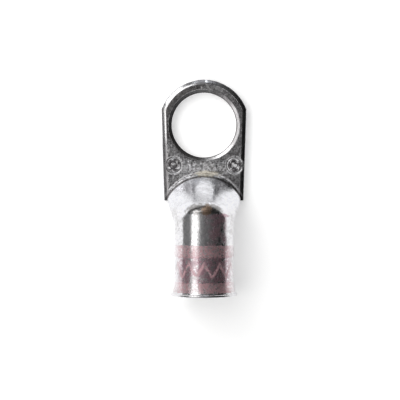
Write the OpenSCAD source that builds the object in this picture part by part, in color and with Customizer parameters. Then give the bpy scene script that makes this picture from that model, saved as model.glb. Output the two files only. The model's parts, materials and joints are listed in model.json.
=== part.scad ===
// Compression cable lug for a stranded copper conductor of about 50 mm2 and a 1/2 in or M12 stud.
// One length of copper tube: one end is pressed flat into the palm and pierced for the stud,
// the other end stays round as the barrel and is flared into a bell mouth.
// Origin: centre of the stud hole on the palm's mounting face. +Z is the stud's axis, and the
// barrel runs toward -Y.

/* [Stud hole] */
// Diameter of the stud hole
stud_d = 13.5; // [8:0.5:14.5]
// Width of the edge that the punch draws down around the top of the hole
hole_roll = 0.85; // [0.3:0.05:1]
// Slope of that edge where it meets the wall of the hole, in degrees
hole_roll_slope = 34; // [20:1:60]
// Small broken edge of the hole on the mounting face
hole_break = 0.2; // [0.1:0.1:0.5]

/* [Palm] */
// Thickness of the palm, both tube walls pressed together
palm_t = 2.4; // [2.2:0.1:3.2]
// Width of the palm across the centre of the hole
palm_w = 17.75; // [17.25:0.25:21]
// Width of the palm at its root, where the tube begins to open
palm_root_w = 16.7; // [15.5:0.1:19]
// Metal between the hole and the round end of the palm
end_metal = 2.8; // [2:0.1:6]
// Distance from the centre of the hole to the root of the palm
palm_root = 15.8; // [15:0.1:17]
// Rounding of the palm's top edge
top_round = 0.9; // [0.4:0.1:1]
// Rounding of the palm's back edge
back_round = 0.5; // [0.2:0.1:0.8]

/* [Barrel] */
// Outer diameter of the barrel
barrel_d = 12.4; // [11.8:0.1:14]
// Bore of the barrel, which takes the conductor
bore_d = 10; // [8.5:0.1:10.8]
// Distance from the centre of the hole to the mouth of the barrel
mouth = 35.4; // [30:0.1:60]

/* [Bell mouth] */
// Length of the flare, measured from the mouth
bell_len = 3.1; // [1.5:0.1:5]
// Outer diameter at the end of the flare, just behind the lip
bell_d = 13.2; // [12.8:0.1:14.8]
// How far the lip stands out from the flare, all round
lip_out = 0.4; // [0.1:0.05:1]
// Thickness of the lip along the barrel
lip_t = 0.6; // [0.4:0.05:1]
// Wall left at the mouth, inside the flare
mouth_wall = 0.75; // [0.4:0.05:1.2]

/* [Pressed transition] */
// Distance from the centre of the hole to the top of the arch where the ramp begins
arch = 9.9; // [9:0.1:12]
// How much the radius of the arch exceeds half the width of the pressed tube
arch_open = 1; // [0.3:0.1:4]
// Flange that the coined palm leaves each side of the pressed tube
flange = 0.4; // [0.2:0.1:1]
// Distance from the centre of the hole to where the top of the barrel is fully round
shoulder = 18.2; // [16.5:0.1:21]
// How much further from the hole the underside of the barrel is fully round
shoulder_sweep = 4.2; // [2:0.1:6]
// Length of the rounded tongue in which the flat back runs out under the barrel
back_tongue = 2; // [0:0.1:3]
// Share of the ramp that is its hollow bend at the palm
foot_bend = 0.12; // [0.06:0.01:0.3]
// Share of the ramp that is its round bend at the shoulder
crown_bend = 0.3; // [0.1:0.01:0.5]

/* [Hidden] */
$fn = 96;

// Depth by which the coined palm stands proud of the pressed tube on both faces
coin_step = 0.03;
// Overrun of a cutting tool past the surface that it leaves
over = 1;
// Lead by which a rounding tool crosses a face instead of only touching it
lead = 0.005;
// Height left between the walls at the closed end of the hollow
seam_gap = 0.16;

end_r = stud_d / 2 + end_metal;
wall = (barrel_d - bore_d) / 2;
lip_d = bell_d + 2 * lip_out;
// The back of the palm lies level with the lowest point of the lip
axis_z = lip_d / 2;
tube_w = palm_root_w - 2 * flange;
arch_r = tube_w / 2 + arch_open;
// The barrel is fully round all the way round from here to the mouth
barrel_start = shoulder + shoulder_sweep + 0.1;
// The pressed tube starts inside the palm, a little before the arch
tube_start = arch - 0.4;
ramp_slope = atan((axis_z + barrel_d / 2 - palm_t) / (shoulder - arch));

copper_tinned = [0.74, 0.74, 0.73];
fibres = 72;
ramp_steps = 18;
bell_steps = 10;
roll_steps = 5;

function mix(a, b, t) = a + (b - a) * t;

// Share of the climb from palm to barrel at the share v of the way along a fibre of the tube
function press(v) =
    let(k = 1 / (1 - (foot_bend + crown_bend) / 2))
    v < foot_bend ? k * v * v / (2 * foot_bend)
    : v > 1 - crown_bend ? 1 - k * (1 - v) * (1 - v) / (2 * crown_bend)
    : k * (v - foot_bend / 2);

// Point [x, z] of a flattened tube of half width w and half height h. The angle a runs from the
// top, and equal angles are equal lengths of wall, as when a round tube is pressed flat.
function pressed_tube(a, w, h) =
    let(quarter = acos(abs(cos(a))) / 90,
        run = quarter * (w - h + h * PI / 2),
        turn = max(0, run - (w - h)) / h * 180 / PI)
    [sign(sin(a)) * (min(run, w - h) + h * sin(turn)), sign(cos(a)) * h * cos(turn)];

// Distance from the hole at which the fibre that leaves the flat at x starts to bend
function arch_at(x) = arch + arch_r - sqrt(arch_r * arch_r - x * x);
function foot(a, x, w) =
    cos(a) >= 0 ? arch_at(x) : arch_at(w) + back_tongue * (1 - x * x / (w * w));

// Distance from the hole at which the fibre at angle a is part of the round barrel
function crown(a) = shoulder + shoulder_sweep * (1 - pow(cos(a / 2), 4));

// One ring of the transition, at the share v of the way. r is the round end's radius, w and h
// are the flat end's half width and half height, and the inner skin starts later by lag.
function ring(v, r, w, h, lag) = [
    for (i = [0 : fibres - 1])
        let(a = -180 + 360 * i / fibres,
            flat = pressed_tube(a, w, h),
            s = press(v),
            y = mix(foot(a, flat.x, w), crown(a), v) + lag * (1 - v))
        [mix(flat.x, r * sin(a), s), -y, mix(palm_t / 2 + flat.y, axis_z + r * cos(a), s)]
];

// The same ring with every point brought to one distance from the hole
function squared(points, distance) = [for (p = points) [p.x, -distance, p.z]];

// Mean of a list of points
function middle(points) = [for (p = points) 1] * points / len(points);

// A closed skin over a list of rings with as many points each. The ends are fans about their
// middle, because the points of a flat end lie in one line.
module loft(rings) {
    n = len(rings[0]);
    last = (len(rings) - 1) * n;
    centre = len(rings) * n;
    sides = [
        for (k = [0 : len(rings) - 2], i = [0 : n - 1])
            let(a = k * n + i, b = k * n + (i + 1) % n)
            each [[a, b, a + n], [b, b + n, a + n]]
    ];
    caps = [
        for (i = [0 : n - 1])
            let(j = (i + 1) % n)
            each [[centre, j, i], [centre + 1, last + i, last + j]]
    ];
    polyhedron(
        points = concat(
            [for (r = rings) each r],
            [middle(rings[0]), middle(rings[len(rings) - 1])]
        ),
        faces = concat(sides, caps),
        convexity = 6
    );
}

// Outside of the tube between the palm and the round barrel
module pressed_tube_outside() {
    h = palm_t / 2 - coin_step;
    r = barrel_d / 2 - coin_step;
    rings = [for (k = [0 : ramp_steps]) ring(k / ramp_steps, r, tube_w / 2, h, 0)];
    loft(concat(
        [squared(rings[0], tube_start)],
        rings,
        [squared(rings[ramp_steps], barrel_start + over)]
    ));
}

// Hollow of the tube, which closes where the walls are pressed together
module pressed_tube_hollow() {
    lag = wall * tan(ramp_slope / 2);
    w = tube_w / 2 - wall;
    r = bore_d / 2 - coin_step;
    first = ceil(ramp_steps * foot_bend);
    rings = [
        for (k = [first : ramp_steps]) ring(k / ramp_steps, r, w, seam_gap / 2, lag)
    ];
    loft(concat(rings, [squared(rings[len(rings) - 1], barrel_start + over)]));
}

// Section of a tool that rounds a corner at the origin, with the part on the lower left
module corner_tool(r) {
    difference() {
        translate([-r, -r]) square(r + over);
        translate([lead - r, lead - r]) circle(r);
    }
}

// Plan of the palm: a round end about the hole, cut by the two sides that taper to the root
module palm_plan() {
    side = (palm_w - palm_root_w) / 2 / palm_root;
    top_w = palm_w / 2 + side * end_r;
    intersection() {
        polygon([
            [-palm_root_w / 2, -palm_root],
            [palm_root_w / 2, -palm_root],
            [top_w, end_r],
            [-top_w, end_r]
        ]);
        union() {
            circle(end_r);
            translate([-palm_w, -2 * palm_root]) square([2 * palm_w, 2 * palm_root]);
        }
    }
}

// Rounds the palm's outline on one face: the end is turned, and each side is a straight pass
module palm_edge_tool(r) {
    taper = atan((palm_w - palm_root_w) / 2 / palm_root);
    rotate_extrude(angle = 180) translate([end_r, 0]) corner_tool(r);
    for (side = [0, 1])
        mirror([side, 0, 0])
            translate([palm_w / 2, 0, 0])
                rotate([90, 0, -taper])
                    translate([0, 0, -end_r])
                        linear_extrude(end_r + palm_root + over) corner_tool(r);
}

module palm() {
    difference() {
        linear_extrude(palm_t) palm_plan();
        translate([0, 0, palm_t]) palm_edge_tool(top_round);
        mirror([0, 0, 1]) palm_edge_tool(back_round);
    }
}

// The stud hole: a true bore, drawn down round its top and broken on the back
module stud_hole() {
    r = stud_d / 2;
    // The drawn edge is an arc that leaves the palm's face level and ends at its slope
    bend_r = hole_roll / sin(hole_roll_slope);
    translate([0, 0, -over]) cylinder(d = stud_d, h = palm_t + 2 * over);
    translate([0, 0, palm_t])
        rotate_extrude()
            polygon([
                [r - lead, over],
                for (k = [roll_steps : -1 : 0])
                    let(a = hole_roll_slope * k / roll_steps)
                    [r + hole_roll - bend_r * sin(a), bend_r * (cos(a) - 1) + (k == 0 ? lead : 0)],
                [r + hole_roll, over]
            ]);
    translate([0, 0, -over])
        cylinder(r1 = r + hole_break + over, r2 = r - lead, h = hole_break + over + lead);
}

// Radius on the flare at the share t of its length, from its root to the mouth
function flare(r0, r1, t) = mix(r0, r1, t * t);

// Everything below turns about the barrel's axis, with the distance from the hole as height
module about_barrel_axis() translate([0, 0, axis_z]) rotate([90, 0, 0]) children();

module barrel() {
    root = mouth - bell_len;
    tip = lip_t / 2;
    about_barrel_axis()
        rotate_extrude()
            polygon([
                [0, barrel_start],
                [barrel_d / 2, barrel_start],
                for (k = [0 : bell_steps])
                    let(t = k / bell_steps)
                    [flare(barrel_d / 2, bell_d / 2, t), mix(root, mouth - lip_t, t)],
                for (a = [-80 : 20 : 80])
                    [lip_d / 2 - tip + tip * cos(a), mouth - tip + tip * sin(a)],
                [bell_d / 2 - mouth_wall, mouth],
                [0, mouth]
            ]);
}

// The bore and the inside of the flare, as one turned tool
module bore() {
    root = mouth - bell_len;
    about_barrel_axis()
        rotate_extrude()
            polygon([
                [0, barrel_start],
                [bore_d / 2, barrel_start],
                for (k = [0 : bell_steps])
                    let(t = k / bell_steps)
                    [flare(bore_d / 2, bell_d / 2 - mouth_wall, t), mix(root, mouth, t)],
                [bell_d / 2 - mouth_wall, mouth + over],
                [0, mouth + over]
            ]);
}

module cable_lug() {
    color(copper_tinned)
        difference() {
            union() {
                palm();
                pressed_tube_outside();
                barrel();
            }
            stud_hole();
            pressed_tube_hollow();
            bore();
        }
}

cable_lug();
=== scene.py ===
import json
import math

import bmesh
import bpy
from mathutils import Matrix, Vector


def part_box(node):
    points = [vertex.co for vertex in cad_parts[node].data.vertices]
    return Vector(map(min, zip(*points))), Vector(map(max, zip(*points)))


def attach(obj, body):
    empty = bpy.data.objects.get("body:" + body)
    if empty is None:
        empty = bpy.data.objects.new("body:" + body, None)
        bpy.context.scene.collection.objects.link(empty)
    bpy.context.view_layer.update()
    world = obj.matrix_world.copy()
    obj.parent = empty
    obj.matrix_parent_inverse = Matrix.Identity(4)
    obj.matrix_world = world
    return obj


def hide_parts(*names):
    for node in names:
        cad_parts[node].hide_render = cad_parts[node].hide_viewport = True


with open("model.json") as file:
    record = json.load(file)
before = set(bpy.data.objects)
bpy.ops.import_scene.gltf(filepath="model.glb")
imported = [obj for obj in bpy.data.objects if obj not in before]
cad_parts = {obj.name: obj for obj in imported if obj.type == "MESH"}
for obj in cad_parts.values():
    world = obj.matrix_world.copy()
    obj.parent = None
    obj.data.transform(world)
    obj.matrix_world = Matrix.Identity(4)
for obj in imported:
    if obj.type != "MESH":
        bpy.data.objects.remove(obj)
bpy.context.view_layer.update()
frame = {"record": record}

# The tube
# A length of seamless copper tube, cut to size and annealed. One end is squeezed flat in a
# press, and from there it opens over a ramp into the round barrel that takes the conductor.
# The barrel's mouth is belled out on a punch, which turns a thin lip at its very end.

mm = 0.001
lug_low, lug_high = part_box("cable_lug")
mounts = {mount["name"]: mount for mount in frame["record"]["mounts"]}

# the round barrel, its flare and its lip
bore_r = mounts["cable_entry"]["dims"]["r_mm"] * mm
axis_z = mounts["cable_entry"]["pos_m"][2]
mouth = -lug_low[1]
barrel_r = 6.2 * mm
wall = barrel_r - bore_r
bell_len = 3.1 * mm
bell_r = 6.6 * mm
lip_r = axis_z
lip_t = 0.6 * mm
mouth_wall = 0.75 * mm

# the pressed end and the ramp, at distances from the stud hole
palm_t = 2.4 * mm
coin_step = 0.03 * mm
flat_w = 15.9 * mm
seam_gap = 0.16 * mm
arch = 9.9 * mm
arch_r = 8.95 * mm
shoulder = 18.2 * mm
shoulder_sweep = 4.2 * mm
back_tongue = 2.0 * mm
foot_bend = 0.12
crown_bend = 0.3
hollow_lag = 0.6 * mm
hollow_end = arch + 1.9 * mm
barrel_start = shoulder + shoulder_sweep + 0.1 * mm
ramp_start = 10 * mm
tube_start = ramp_start - 0.4 * mm

# the fold that the edge of the die leaves near the foot of the ramp, in shares of the ramp
fold_at = 0.095
fold_spread = 0.011
fold_depth = 0.12 * mm

fibres = 144


def mix(a, b, t):
    return a + (b - a) * t


def tube_profile():
    """The tube while it is still round, as radius and distance: out, over the lip, down the bore."""
    # rings lie close together at the fold
    shares = [0, 0.02, 0.04, 0.055] + [0.065 + 0.005 * k for k in range(14)]
    shares += [0.145] + [0.165 + 0.835 * k / 36 for k in range(37)]
    ramp = [mix(ramp_start, barrel_start, share) for share in shares]
    inner_ramp = [d for d in ramp if d >= mix(ramp_start, barrel_start, foot_bend)]
    flare = [k / 12 for k in range(13)]
    outer_flare = [(mix(barrel_r, bell_r, t * t), mix(mouth - bell_len, mouth - lip_t, t)) for t in flare]
    mouth_r = bell_r - mouth_wall
    inner_flare = [(mix(mouth_r, bore_r, 2 * t - t * t), mix(mouth, mouth - bell_len, t)) for t in flare]
    tip = lip_t / 2
    lip = []
    for degrees in range(-80, 81, 20):
        a = math.radians(degrees)
        lip.append((lip_r - tip + tip * math.cos(a), mouth - tip + tip * math.sin(a)))
    outer = [(barrel_r, tube_start)] + [(barrel_r, d) for d in ramp] + outer_flare
    return outer + lip + inner_flare + [(bore_r, d) for d in reversed(inner_ramp)]


bpy.ops.object.select_all(action="DESELECT")
profile = tube_profile()
radius, distance = profile[0]
bpy.ops.mesh.primitive_circle_add(
    vertices=fibres, radius=radius, location=(0, -distance, axis_z), rotation=(math.pi / 2, 0, 0)
)
lug = bpy.context.object
lug.name = "lug"
bpy.ops.object.transform_apply(location=True, rotation=True, scale=True)
bpy.ops.object.mode_set(mode="EDIT")
bpy.ops.mesh.select_all(action="SELECT")
for next_radius, next_distance in profile[1:]:
    bpy.ops.mesh.extrude_region_move(TRANSFORM_OT_translate={"value": (0, distance - next_distance, 0)})
    if abs(next_radius - radius) > 1e-9:
        k = next_radius / radius
        bpy.ops.transform.resize(value=(k, 1, k), center_override=(0, -next_distance, axis_z))
    radius, distance = next_radius, next_distance
# both ends close on a middle point
bpy.ops.mesh.extrude_region_move()
bpy.ops.mesh.merge(type="CENTER")
bpy.ops.mesh.select_all(action="DESELECT")
bpy.ops.mesh.select_non_manifold(extend=False)
bpy.ops.mesh.extrude_region_move()
bpy.ops.mesh.merge(type="CENTER")
bpy.ops.mesh.select_all(action="SELECT")
bpy.ops.mesh.normals_make_consistent(inside=False)
bpy.ops.object.mode_set(mode="OBJECT")


def climb(v):
    """Share of the climb to the barrel: a short hollow bend, a straight run, a long round bend."""
    k = 1 / (1 - (foot_bend + crown_bend) / 2)
    if v < foot_bend:
        return k * v * v / (2 * foot_bend)
    if v > 1 - crown_bend:
        return 1 - k * (1 - v) ** 2 / (2 * crown_bend)
    return k * (v - foot_bend / 2)


def flattened(a, w, h):
    """A point of the flattened tube, for an angle round the tube counted from its top.

    Equal angles are equal lengths of wall, since the press bends the wall and doesn't stretch it.
    """
    run = math.acos(abs(math.cos(a))) / (math.pi / 2) * (w - h + h * math.pi / 2)
    turn = max(0.0, run - (w - h)) / h
    x = math.copysign(min(run, w - h) + h * math.sin(turn), math.sin(a))
    z = math.copysign(h * math.cos(turn), math.cos(a))
    return x, z


def arch_at(x):
    """Distance from the hole at which the ramp starts, beside the middle line."""
    return arch + arch_r - math.sqrt(arch_r**2 - x * x)


# The press moves every point of the ramp from its place on the round tube.
for vertex in lug.data.vertices:
    x, y, z = vertex.co
    if -y > barrel_start - 1e-7:
        continue
    r = math.hypot(x, z - axis_z)
    a = math.atan2(x, z - axis_z)
    if r < wall:
        # the middle points of the two ends
        end = tube_start if -y < ramp_start else hollow_end
        vertex.co = (0, -end, palm_t / 2)
        continue
    v = max(0.0, (-y - ramp_start) / (barrel_start - ramp_start))
    outside = r > bore_r + wall / 2
    w = flat_w / 2 if outside else flat_w / 2 - wall
    h = palm_t / 2 - coin_step if outside else seam_gap / 2
    lag = 0 if outside else hollow_lag
    flat_x, flat_z = flattened(a, w, h)
    foot = arch_at(flat_x) if math.cos(a) >= 0 else arch_at(w) + back_tongue * (1 - (flat_x / w) ** 2)
    crown = shoulder + shoulder_sweep * (1 - math.cos(a / 2) ** 4)
    d = tube_start if -y < ramp_start - 1e-7 else mix(foot, crown, v) + lag * (1 - v)
    s = climb(v)
    z = mix(palm_t / 2 + flat_z, axis_z + r * math.cos(a), s)
    if outside:
        fold = fold_depth * math.exp(-(((v - fold_at) / fold_spread) ** 2)) * max(0.0, math.cos(a)) ** 0.3
        z -= fold
        d += fold
    vertex.co = (mix(flat_x, r * math.sin(a), s), -d, z)

# The palm
# The flattened end of the tube, coined between two dies into a plate of even thickness with a
# round end. Its sides taper a little towards the ramp, and its edges are rolled by the dies.

end_r = lug_high[1]
palm_w = 17.75 * mm
palm_root_w = 16.7 * mm
palm_root = 15.8 * mm
top_round = 1.05 * mm
back_round = 0.5 * mm

bpy.ops.object.select_all(action="DESELECT")
bpy.ops.mesh.primitive_cylinder_add(vertices=160, radius=end_r, depth=palm_t, location=(0, 0, palm_t / 2))
palm = bpy.context.object
palm.name = "palm"
bpy.ops.object.transform_apply(location=True, rotation=True, scale=True)
bpy.ops.object.mode_set(mode="EDIT")


def select_only(obj, wanted, kind="FACE"):
    """Selects, in edit mode, only the faces or edges that wanted says yes to."""
    bpy.ops.mesh.select_mode(type=kind)
    bpy.ops.mesh.select_all(action="DESELECT")
    mesh = bmesh.from_edit_mesh(obj.data)
    for part in mesh.faces if kind == "FACE" else mesh.edges:
        if wanted(part):
            part.select = True
    mesh.select_flush_mode()
    bmesh.update_edit_mesh(obj.data)


# the disc is cut across a little below its middle, and drawn out from there to the root
cut_y = -2 * mm
bpy.ops.mesh.select_all(action="SELECT")
bpy.ops.mesh.bisect(plane_co=(0, cut_y, 0), plane_no=(0, -1, 0), clear_outer=True, use_fill=True)
select_only(palm, lambda face: face.normal.y < -0.9)
bpy.ops.mesh.extrude_region_move(TRANSFORM_OT_translate={"value": (0, -palm_root - cut_y, 0)})
taper = (palm_w - palm_root_w) / 2 / palm_root
for side in (-1, 1):
    bpy.ops.mesh.select_all(action="SELECT")
    bpy.ops.mesh.bisect(
        plane_co=(side * palm_w / 2, 0, 0), plane_no=(side, -taper, 0), clear_outer=True, use_fill=True
    )


def rim(height):
    """Edges of the palm's outline on one face, except at the root."""
    def wanted(edge):
        a, b = (v.co for v in edge.verts)
        level = abs(a.z - height) < 1e-6 and abs(b.z - height) < 1e-6
        at_root = a.y < 1e-5 - palm_root and b.y < 1e-5 - palm_root
        return level and not at_root and edge.calc_face_angle(0) > 1
    return wanted


for height, width in ((palm_t, top_round), (0, back_round)):
    select_only(palm, rim(height), "EDGE")
    bpy.ops.mesh.bevel(offset=width, segments=9, profile=0.5, affect="EDGES", clamp_overlap=False)
bpy.ops.object.mode_set(mode="OBJECT")

# The dies leave the top rim as two slopes, an easy one inside and a steeper one outside:
# (distance from the side, drop below the top), both in shares of the round.
rim_slopes = [(0, 1), (0.03, 0.58), (0.08, 0.44), (0.60, 0.137), (0.97, 0.01), (1, 0)]


def rolled_drop(inset):
    for (near, low), (far, high) in zip(rim_slopes, rim_slopes[1:]):
        if inset <= far:
            return mix(low, high, (inset - near) / (far - near))
    return 0


for vertex in palm.data.vertices:
    drop = (palm_t - vertex.co.z) / top_round
    if 1e-3 < drop < 0.999:
        vertex.co.z = palm_t - top_round * rolled_drop(1 - math.sqrt(1 - (1 - drop) ** 2))


def cut(target, tool, operation):
    """Joins a tool to the target, or cuts it away, and takes the tool off the bench."""
    step = target.modifiers.new(operation.lower(), "BOOLEAN")
    step.operation = operation
    step.solver = "EXACT"
    step.object = tool
    bpy.context.view_layer.objects.active = target
    bpy.ops.object.modifier_apply(modifier=step.name)
    bpy.data.objects.remove(tool)


cut(lug, palm, "UNION")

# The stud hole
# Pierced through both walls of the palm from above. The punch draws the upper edge down and
# leaves a small broken edge on the back.

stud_r = mounts["stud_hole"]["dims"]["r_mm"] * mm
hole_break = 0.2 * mm
beyond = 1 * mm

# the drawn edge, as (distance past the wall, depth below the top): a tight turn at the sheared
# wall, an even slope, and a soft turn into the top
drawn_edge = [
    (0, 0.50), (0.01, 0.40), (0.03, 0.345), (0.06, 0.31), (0.10, 0.285), (0.25, 0.225),
    (0.40, 0.165), (0.55, 0.105), (0.67, 0.057), (0.75, 0.026), (0.82, 0.006), (0.88, -0.005),
]
punch_profile = [(stud_r, hole_break)]
punch_profile += [(stud_r + past * mm, palm_t - depth * mm) for past, depth in drawn_edge]
punch_profile += [(punch_profile[-1][0], palm_t + beyond)]

radius, height = stud_r + hole_break + beyond, -beyond
bpy.ops.object.select_all(action="DESELECT")
bpy.ops.mesh.primitive_circle_add(vertices=160, radius=radius, location=(0, 0, height), fill_type="NGON")
punch = bpy.context.object
bpy.ops.object.transform_apply(location=True, rotation=True, scale=True)
bpy.ops.object.mode_set(mode="EDIT")
bpy.ops.mesh.select_all(action="SELECT")
for next_radius, next_height in punch_profile:
    bpy.ops.mesh.extrude_region_move(TRANSFORM_OT_translate={"value": (0, 0, next_height - height)})
    k = next_radius / radius
    bpy.ops.transform.resize(value=(k, k, 1), center_override=(0, 0, next_height))
    radius, height = next_radius, next_height
bpy.ops.mesh.select_all(action="SELECT")
bpy.ops.mesh.normals_make_consistent(inside=False)
bpy.ops.object.mode_set(mode="OBJECT")
cut(lug, punch, "DIFFERENCE")

# Marks of the dies
# The press leaves a low lip along the arch where the palm ends, a plain stamp of two rings on
# each side of the palm, and a fine line where the two walls of the flattened tube meet.

lip_thick = 0.5 * mm
lip_inset = 0.05 * mm
lip_sunk = 0.13 * mm
lip_half_angle = math.radians(54)
seam_thick = 0.09 * mm
seam_half_angle = math.radians(66)
wall_seam_thick = 0.10 * mm
seam_offset = 0.01 * mm
stamp_y = -8.4 * mm
left_stamp_x, right_stamp_x = -6.3 * mm, 6.4 * mm
stamp_r, stamp_thick = 1.6 * mm, 0.54 * mm
inner_stamp_r, inner_stamp_thick = 0.7 * mm, 0.48 * mm
stamp_lift = 0.09 * mm


def bent_bar(centre_y, turn_r, height, thick, half_angle):
    """A bar of round section, thick across, bent about a point of the lug's middle line."""
    bpy.ops.object.select_all(action="DESELECT")
    bpy.ops.mesh.primitive_circle_add(
        vertices=14,
        radius=thick / 2,
        location=(turn_r * math.sin(half_angle), centre_y + turn_r * math.cos(half_angle), height),
        rotation=(math.pi / 2, 0, math.pi / 2 - half_angle),
    )
    bar = bpy.context.object
    bpy.ops.object.transform_apply(location=True, rotation=True, scale=True)
    bpy.ops.object.mode_set(mode="EDIT")
    bpy.ops.mesh.select_all(action="SELECT")
    bpy.ops.mesh.spin(steps=64, angle=-2 * half_angle, center=(0, centre_y, height), axis=(0, 0, 1))
    bpy.ops.mesh.select_all(action="SELECT")
    bpy.ops.mesh.fill_holes(sides=0)
    bpy.ops.mesh.select_all(action="SELECT")
    bpy.ops.mesh.normals_make_consistent(inside=False)
    bpy.ops.object.mode_set(mode="OBJECT")
    return bar


def ring(radius, thick, place, steps, sides):
    """A closed ring of round section, which lies level."""
    bpy.ops.object.select_all(action="DESELECT")
    bpy.ops.mesh.primitive_torus_add(
        major_radius=radius,
        minor_radius=thick / 2,
        major_segments=steps,
        minor_segments=sides,
        location=place,
    )
    return bpy.context.object


arch_lip = bent_bar(-arch - arch_r, arch_r - lip_inset, palm_t - lip_sunk, lip_thick, lip_half_angle)
cut(lug, arch_lip, "UNION")
# the seam is a scratch round the palm's end and another round the wall of the hole
end_seam = bent_bar(0, end_r + seam_offset, palm_t / 2, seam_thick, seam_half_angle)
cut(lug, end_seam, "DIFFERENCE")
wall_seam = ring(stud_r - seam_offset, wall_seam_thick, (0, 0, palm_t / 2 - 0.1 * mm), 160, 12)
cut(lug, wall_seam, "DIFFERENCE")
for stamp_x in (left_stamp_x, right_stamp_x):
    stamp = (stamp_x, stamp_y, palm_t + stamp_lift)
    cut(lug, ring(stamp_r, stamp_thick, stamp, 72, 16), "DIFFERENCE")
    cut(lug, ring(inner_stamp_r, inner_stamp_thick, stamp, 48, 16), "DIFFERENCE")

bpy.ops.object.select_all(action="DESELECT")
lug.select_set(True)
bpy.context.view_layer.objects.active = lug
bpy.ops.object.shade_smooth_by_angle(angle=math.radians(32))
fair = lug.modifiers.new("fair", "WEIGHTED_NORMAL")
fair.keep_sharp = True
fair.weight = 80
bpy.ops.object.modifier_apply(modifier=fair.name)
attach(lug, "root")
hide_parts("cable_lug")

# Tin plate and ink
# Bright tin over copper: mottled where the dies pressed it, rubbed along the tube, with copper
# showing at the shoulder. Painted shade darkens it round the hole, on the rim, in the fold along
# the arch, on the shoulder and toward the palm's right side, and the ramp's bluish tint is a
# painted reflection. On the barrel, two bands of rose ink are printed with a pad, and a zigzag
# line between them; the print is thinned on its sides as painted glare.

tin = bpy.data.materials.new("tin plate")
tin.use_nodes = True
nodes, links = tin.node_tree.nodes, tin.node_tree.links
plate = nodes["Principled BSDF"]
where = nodes.new("ShaderNodeTexCoord").outputs["Object"]


def arithmetic(operation, *values):
    """One sum in the material at hand: a number stands for itself, and a socket is wired in."""
    node = nodes.new("ShaderNodeMath")
    node.operation = operation
    for socket, value in zip(node.inputs, values):
        if isinstance(value, (int, float)):
            socket.default_value = value
        else:
            links.new(value, socket)
    return node.outputs[0]


def plus(a, b):
    return arithmetic("ADD", a, b)


def minus(a, b):
    return arithmetic("SUBTRACT", a, b)


def times(first, *others):
    for other in others:
        first = arithmetic("MULTIPLY", first, other)
    return first


def most(first, *others):
    for other in others:
        first = arithmetic("MAXIMUM", first, other)
    return first


def apart(a, b):
    return arithmetic("ABSOLUTE", minus(a, b))


def without(mark, share=1.0):
    """1 where a mark is not, and less by its share where it is."""
    return minus(1.0, times(mark, share))


def length(a, b):
    return arithmetic("SQRT", plus(times(a, a), times(b, b)))


def fade(value, start, end):
    """0 at start, 1 at end, and smooth between them. start may be the larger."""
    node = nodes.new("ShaderNodeMapRange")
    node.interpolation_type = "SMOOTHSTEP"
    node.inputs["From Min"].default_value = min(start, end)
    node.inputs["From Max"].default_value = max(start, end)
    node.inputs["To Min"].default_value = float(start > end)
    node.inputs["To Max"].default_value = float(start < end)
    links.new(value, node.inputs["Value"])
    return node.outputs[0]


def grain(scale, detail=2.0, stretch=(1, 1, 1), roughness=0.5):
    """Noise with scale lumps to the metre, stretched along one axis or another."""
    turn = nodes.new("ShaderNodeMapping")
    turn.inputs["Scale"].default_value = stretch
    links.new(where, turn.inputs["Vector"])
    node = nodes.new("ShaderNodeTexNoise")
    node.inputs["Scale"].default_value = scale
    node.inputs["Detail"].default_value = detail
    node.inputs["Roughness"].default_value = roughness
    links.new(turn.outputs[0], node.inputs["Vector"])
    return node.outputs["Fac"]


def tinted(colour, share, tint):
    """A colour with a share of another laid over it."""
    node = nodes.new("ShaderNodeMix")
    node.data_type = "RGBA"
    links.new(share, node.inputs["Factor"])
    for socket, value in ((node.inputs[6], colour), (node.inputs[7], tint)):
        if isinstance(value, tuple):
            socket.default_value = value + (1,)
        else:
            links.new(value, socket)
    return node.outputs[2]


axes = nodes.new("ShaderNodeSeparateXYZ")
links.new(where, axes.inputs[0])
across, along, up = axes.outputs
rise = minus(up, axis_z)
around = arithmetic("ARCTAN2", across, rise)
outer_skin = fade(length(across, rise), barrel_r - 0.25 * mm, barrel_r - 0.15 * mm)
torn = grain(1500, 4, roughness=0.65)


def from_point(x, y):
    """Distance from an upright line through the lug."""
    return length(minus(across, x), minus(along, y))


def patch(x, y, half_x, half_y):
    """A ragged spot on the lug's upper side, full in the middle."""
    reach = length(
        arithmetic("DIVIDE", minus(across, x), half_x), arithmetic("DIVIDE", minus(along, y), half_y)
    )
    reach = plus(reach, times(minus(torn, 0.5), 1.6))
    return times(fade(reach, 1.1, 0.55), fade(up, palm_t - 0.4 * mm, palm_t - 0.1 * mm))


# where the dies formed the ramp and barrel, rolled the palm's edges and coined its faces
formed = most(fade(up, palm_t + 0.1 * mm, palm_t + 0.8 * mm), fade(along, -17 * mm, -19 * mm))
smooth_ramp = times(formed, fade(along, -18.2 * mm, -16.8 * mm))
rolled = times(fade(up, palm_t - 0.007 * mm, palm_t - 0.04 * mm), fade(along, -16.5 * mm, -15.5 * mm))
burnished = most(smooth_ramp, rolled)
coined = times(minus(1.0, formed), fade(up, 1.5 * mm, 2.0 * mm))

# rubbed places are duller and a little darker
dull = fade(grain(420, 4, roughness=0.6), 0.42, 0.66)
rubbed = fade(grain(260, 3, (9, 0.6, 9)), 0.45, 0.7)

# the stamps are bright in spots and dark between them
from_left, from_right = from_point(left_stamp_x, stamp_y), from_point(right_stamp_x, stamp_y)
from_stamp = arithmetic("MINIMUM", from_left, from_right)
stamp_grain = grain(1200, 2)
stamp_ring = times(fade(apart(from_stamp, stamp_r + 0.08 * mm), 0.42 * mm, 0.20 * mm), coined)
stamp_field = times(fade(from_stamp, stamp_r - 0.18 * mm, stamp_r - 0.30 * mm), coined)
stamp_light = most(
    times(stamp_ring, fade(torn, 0.30, 0.55)), times(stamp_field, fade(stamp_grain, 0.50, 0.58))
)
stamp_shade = times(stamp_field, fade(stamp_grain, 0.54, 0.44))
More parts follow.
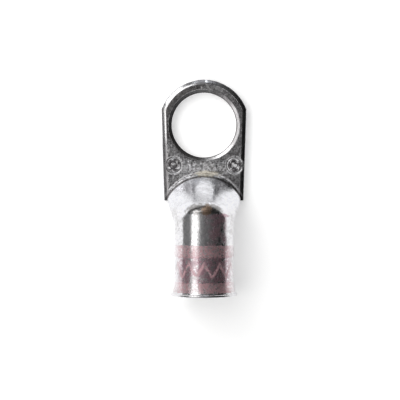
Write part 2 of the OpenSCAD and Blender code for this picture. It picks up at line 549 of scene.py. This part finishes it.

# the palm is pitted, and painted shade darkens it toward its right side
pits = fade(grain(2100, 2, (1, 1.3, 1)), 0.50, 0.62)
pits = times(pits, plus(0.20, times(coined, 0.62)), without(burnished, 0.7))
right_painted_shade = times(coined, fade(across, 2.0 * mm, 7.5 * mm), without(stamp_light))

# painted shade: a dark ring at the hole's sheared edge, and a dark patch on the palm left of the hole
from_stud = from_point(0, 0)
hole_edge_painted_shade = times(fade(from_stud, stud_r + 0.25 * mm, stud_r + 0.17 * mm), fade(up, 1.85 * mm, 1.95 * mm))
left_arc = times(fade(from_stud, 8.9 * mm, 8.4 * mm), fade(along, -4.5 * mm, -2.0 * mm), without(rolled))
low_arc = times(fade(from_stud, 8.0 * mm, 7.5 * mm), fade(along, 0.5 * mm, -2.5 * mm))
left_painted_shade = times(most(left_arc, low_arc), fade(across, 1.5 * mm, -1.5 * mm), plus(0.55, times(torn, 0.5)))

# painted shade, with rougher metal: the rim is darkened at the round end but for one bright nick,
# and low on the left, and the hole's drawn edge is darkened at the upper right
end_rim_shade = times(fade(apart(across, 0.9 * mm), 2.9 * mm, 2.0 * mm), fade(along, 7.9 * mm, 8.5 * mm))
end_rim_shade = times(end_rim_shade, fade(apart(across, 0.45 * mm), 0.12 * mm, 0.35 * mm))
left_rim_shade = times(rolled, fade(along, -1.5 * mm, -4.5 * mm), fade(across, -6.5 * mm, -7.5 * mm))
drawn_edge_shade = times(
    fade(from_stud, 7.9 * mm, 7.7 * mm), fade(along, 3.0 * mm, 4.8 * mm), fade(across, 1.0 * mm, 2.0 * mm)
)
rim_scuff_and_shade = most(end_rim_shade, left_rim_shade, drawn_edge_shade)

# painted shade lies in the fold along the arch and on the shoulder, with tarnish and bare copper beside
# it
fold_y, fold_r = -19.76 * mm, 9.0 * mm
fold_painted_shade = fade(apart(from_point(0, fold_y), fold_r), 0.30 * mm, 0.10 * mm)
fold_painted_shade = times(fold_painted_shade, fade(along, -17.2 * mm, -16.4 * mm), fade(up, 2.0 * mm, 2.2 * mm))
shoulder_painted_shade = times(patch(-0.2 * mm, -17.3 * mm, 5.0 * mm, 1.3 * mm), fade(up, 10.8 * mm, 11.6 * mm))
tarnish = patch(0.7 * mm, -10.2 * mm, 3.0 * mm, 0.7 * mm)
bare = patch(0.5 * mm, -17.6 * mm, 1.3 * mm, 1.25 * mm)

# the plate is chalky in spots, most of all in the strip between the stamps, in the stamps and on
# the lip along the arch, which the die rubbed
pressed_strip = patch(0, -9.3 * mm, 7.5 * mm, 2.2 * mm)
lip_rub = fade(apart(from_point(0, -arch - arch_r), arch_r), 0.26 * mm, 0.12 * mm)
lip_rub = times(lip_rub, coined, fade(along, -15.8 * mm, -14.5 * mm))
chalky = fade(grain(1900, 3, roughness=0.65), 0.50, 0.60)
chalky = times(chalky, plus(0.15, times(pressed_strip, 0.66)), plus(0.6, times(coined, 0.4)))
chalky = most(chalky, stamp_light, times(lip_rub, 0.75))
chalky = times(chalky, without(rolled, 0.7), without(left_painted_shade))

# the print: two bands with ragged edges, and a zigzag line between them
ragged_along = plus(along, times(minus(grain(1800, 3), 0.5), 0.5 * mm))
first_band = (-27.3 * mm, -24.8 * mm)
mouth_band = (-34.5 * mm, -32.4 * mm)
zigzag_y, zigzag_pitch, zigzag_swing = -29.9 * mm, 3.3 * mm, 1.35 * mm


def band(low, high):
    """A band of ink round the barrel, between two places along it."""
    soft = 0.08 * mm
    return times(fade(ragged_along, low - soft, low + soft), fade(ragged_along, high + soft, high - soft))


bands = most(band(*first_band), band(*mouth_band))
# turn runs from 0 to 1 in each pitch, and swing from one side of the line's middle to the other
turn = arithmetic("FRACT", arithmetic("DIVIDE", times(around, barrel_r), zigzag_pitch))
swing = times(minus(times(apart(turn, 0.5), 4.0), 1.0), zigzag_swing)
off_line = minus(minus(ragged_along, zigzag_y), swing)
off_line = plus(off_line, times(minus(grain(700, 2), 0.5), 1.0 * mm))
strokes = fade(arithmetic("ABSOLUTE", off_line), 0.62 * mm, 0.38 * mm)

# a thin wash of the ink has spread between the bands, along the right and below the shoulder
turned_away = arithmetic("ABSOLUTE", around)
right_side = times(fade(across, -0.7 * mm, 2 * mm), fade(grain(700, 4), 0.32, 0.58))
right_side = times(right_side, fade(turned_away, math.radians(52), math.radians(40)))
wash = most(
    times(band(-32.6 * mm, -27.0 * mm), fade(grain(1400, 4, roughness=0.65), 0.30, 0.55)),
    times(patch(3.4 * mm, -18.7 * mm, 2.6 * mm, 0.55 * mm), 0.9),
    times(band(-24.8 * mm, -18.4 * mm), right_side, 0.9),
)

# the print is thinned on the sides, a painted stand-in for the glare that washes it out there,
# and along the top where the highlight falls, partly worn and partly a painted highlight, most
# near the mouth
print_glare_fade = fade(turned_away, math.radians(72), math.radians(40))
top_wear_and_highlight = plus(apart(around, -math.radians(19)), times(minus(grain(500, 3), 0.5), 0.25))
top_wear_and_highlight = times(fade(top_wear_and_highlight, 0.20, 0.08), plus(0.30, times(band(-36 * mm, -31 * mm), 0.50)))
worn = fade(grain(2000, 5, roughness=0.75), 0.58, 0.46)
wash = times(wash, print_glare_fade, outer_skin, 0.75, without(top_wear_and_highlight))
kept = times(outer_skin, plus(0.22, times(print_glare_fade, 0.78)), without(top_wear_and_highlight), plus(times(worn, 0.6), 0.4))
ink = times(most(bands, times(strokes, 0.95)), kept)
inked = most(ink, times(wash, 0.75))

# each mark is laid over the last
colour = (0.83, 0.825, 0.845)
for mark, share, tint in (
    (dull, 1.0, (0.66, 0.655, 0.66)),
    # painted shade toward the palm's right side
    (right_painted_shade, 0.65, (0.30, 0.29, 0.30)),
    # painted reflection: a bluish tint on the smooth ramp
    (smooth_ramp, 0.6, (0.82, 0.83, 0.87)),
    (pits, 1.0, (0.24, 0.22, 0.23)),
    (stamp_shade, 0.75, (0.20, 0.18, 0.19)),
    # painted shade round the hole's edge and on the palm left of the hole
    (hole_edge_painted_shade, 0.9, (0.22, 0.21, 0.21)),
    (left_painted_shade, 0.8, (0.17, 0.155, 0.15)),
    # painted shade on the rim and the hole's drawn edge, which are also rougher
    (rim_scuff_and_shade, 0.75, (0.22, 0.21, 0.22)),
    # painted shade in the fold along the arch
    (fold_painted_shade, 0.85, (0.12, 0.11, 0.11)),
    (tarnish, 0.7, (0.80, 0.73, 0.58)),
    # painted shade on the shoulder
    (shoulder_painted_shade, 0.8, (0.20, 0.19, 0.18)),
    (bare, 0.85, (0.42, 0.28, 0.19)),
    (wash, 1.0, (0.36, 0.13, 0.19)),
    (ink, 1.0, (0.62, 0.37, 0.40)),
):
    colour = tinted(colour, times(mark, share), tint)
links.new(colour, plate.inputs["Base Color"])

# ink and chalky spots hide the metal, and ink has a gloss of its own
metal = minus(1.0, plus(times(inked, 0.35), times(strokes, kept, 0.40)))
links.new(times(metal, without(chalky)), plate.inputs["Metallic"])
links.new(times(inked, 0.8), plate.inputs["Coat Weight"])
plate.inputs["Coat Roughness"].default_value = 0.1

matt = minus(0.24, most(times(formed, 0.08), times(rolled, 0.12)))
for mark, more in (
    (dull, 0.10),
    (rubbed, 0.07),
    (inked, 0.15),
    (bare, 0.15),
    (pressed_strip, 0.12),
    (rim_scuff_and_shade, 0.12),
):
    matt = plus(matt, times(mark, more))
links.new(matt, plate.inputs["Roughness"])

# the skin's own relief: broad waves, lumps like orange peel, fine grain, and drawing lines
uneven = None
for height, depth in (
    (grain(170, 1), 0.16 * mm),
    (times(grain(1000, 2), without(most(formed, rolled), 0.85)), 0.15 * mm),
    (times(grain(3000, 2), without(burnished, 0.6)), 0.016 * mm),
    (grain(300, 3, (14, 0.5, 14)), 0.005 * mm),
):
    bump = nodes.new("ShaderNodeBump")
    bump.inputs["Strength"].default_value = 1.0
    bump.inputs["Distance"].default_value = depth
    links.new(height, bump.inputs["Height"])
    if uneven is not None:
        links.new(uneven, bump.inputs["Normal"])
    uneven = bump.outputs[0]
links.new(uneven, plate.inputs["Normal"])
lug.data.materials.clear()
lug.data.materials.append(tin)

# Floor
# A wide sheet of matt white paper, on which the lug lies. It glows a little wherever it is seen
# directly or in the metal, so that it stays white there and still takes the lug's shadow.

bpy.ops.object.select_all(action="DESELECT")
bpy.ops.mesh.primitive_plane_add(size=4, location=(0, 0, 0))
floor = bpy.context.object
floor.name = "floor"
paper = bpy.data.materials.new("paper")
paper.use_nodes = True
nodes, links = paper.node_tree.nodes, paper.node_tree.links
sheet = nodes["Principled BSDF"]
sheet.inputs["Base Color"].default_value = (0.90, 0.90, 0.90, 1)
sheet.inputs["Roughness"].default_value = 0.9
sheet.inputs["Specular IOR Level"].default_value = 0.0
sheet.inputs["Emission Color"].default_value = (1, 1, 1, 1)
rays = nodes.new("ShaderNodeLightPath").outputs
seen = most(rays["Is Camera Ray"], rays["Is Glossy Ray"], rays["Is Transmission Ray"])
links.new(times(seen, 0.42), sheet.inputs["Emission Strength"])
floor.data.materials.append(paper)

# Lights
# A long soft box on the left gives the barrel its highlight, and a dimmer one softens its edge.
# Three small ones stand past the palm's end, and the one overhead fills without being mirrored.
# The room grows darker to the right.


def panel(name, place, aim, across, along, radiance, colour=(1, 1, 1), mirrored=True):
    """A soft box that faces a point. across is its size level with the floor."""
    light = bpy.data.lights.new(name, "AREA")
    light.shape = "RECTANGLE"
    light.size, light.size_y = across, along
    light.energy = radiance * math.pi * across * along
    light.color = colour
    lamp = bpy.data.objects.new(name, light)
    lamp.location = place
    lamp.rotation_euler = (Vector(aim) - Vector(place)).to_track_quat("-Z", "Y").to_euler()
    lamp.visible_glossy = mirrored
    bpy.context.scene.collection.objects.link(lamp)


warm, cool = (1.0, 0.99, 0.97), (0.90, 0.95, 1.0)
panel("side box", (-0.49, 0.02, 0.645), (0, 0.02, 0), 1.20, 0.36, 1.4, warm)
panel("side box edge", (-0.277, 0.02, 0.761), (0, 0.02, 0), 1.20, 0.13, 0.45, warm)
panel("far box", (0, 0.80, 0.42), (0, 0, 0), 0.30, 0.24, 1.7, cool)
panel("corner box", (-0.27, 0.46, 0.60), (0, 0, 0), 0.34, 0.18, 1.6)
panel("low box", (-0.47, 0.50, 0.40), (0, 0, 0), 0.36, 0.26, 1.9)
panel("overhead", (-0.35, 0.2, 1.2), (0, -0.015, 0), 1.4, 1.4, 1.35, mirrored=False)

world = bpy.data.worlds.new("studio")
world.use_nodes = True
nodes, links = world.node_tree.nodes, world.node_tree.links
room = nodes["Background"]
room.inputs["Color"].default_value = (1, 1, 1, 1)
axes = nodes.new("ShaderNodeSeparateXYZ")
links.new(nodes.new("ShaderNodeTexCoord").outputs["Generated"], axes.inputs[0])
to_right = nodes.new("ShaderNodeMapRange")
to_right.inputs["From Min"].default_value = -0.20
to_right.inputs["From Max"].default_value = 0.80
to_right.inputs["To Min"].default_value = 0.17
to_right.inputs["To Max"].default_value = 0.01
links.new(axes.outputs["X"], to_right.inputs["Value"])
links.new(to_right.outputs[0], room.inputs["Strength"])
bpy.context.scene.world = world

# Camera
# It hangs over the middle of the lug and looks almost straight down, tipped a little toward
# the barrel. Its long lens keeps the lug's sides nearly parallel.

camera_data = bpy.data.cameras.new("camera")
camera_data.lens = 161.3
camera_data.clip_start = 0.01
camera = bpy.data.objects.new("camera", camera_data)
camera_y, aim_y, aim_depth = -7.2 * mm, -15.68 * mm, 375 * mm
camera.location = (-0.84 * mm, camera_y, 377.4 * mm)
camera.rotation_euler = (-math.atan2(camera_y - aim_y, aim_depth), 0, 0)
bpy.context.scene.collection.objects.link(camera)
bpy.context.scene.camera = camera
bpy.context.scene.view_settings.view_transform = "Standard"
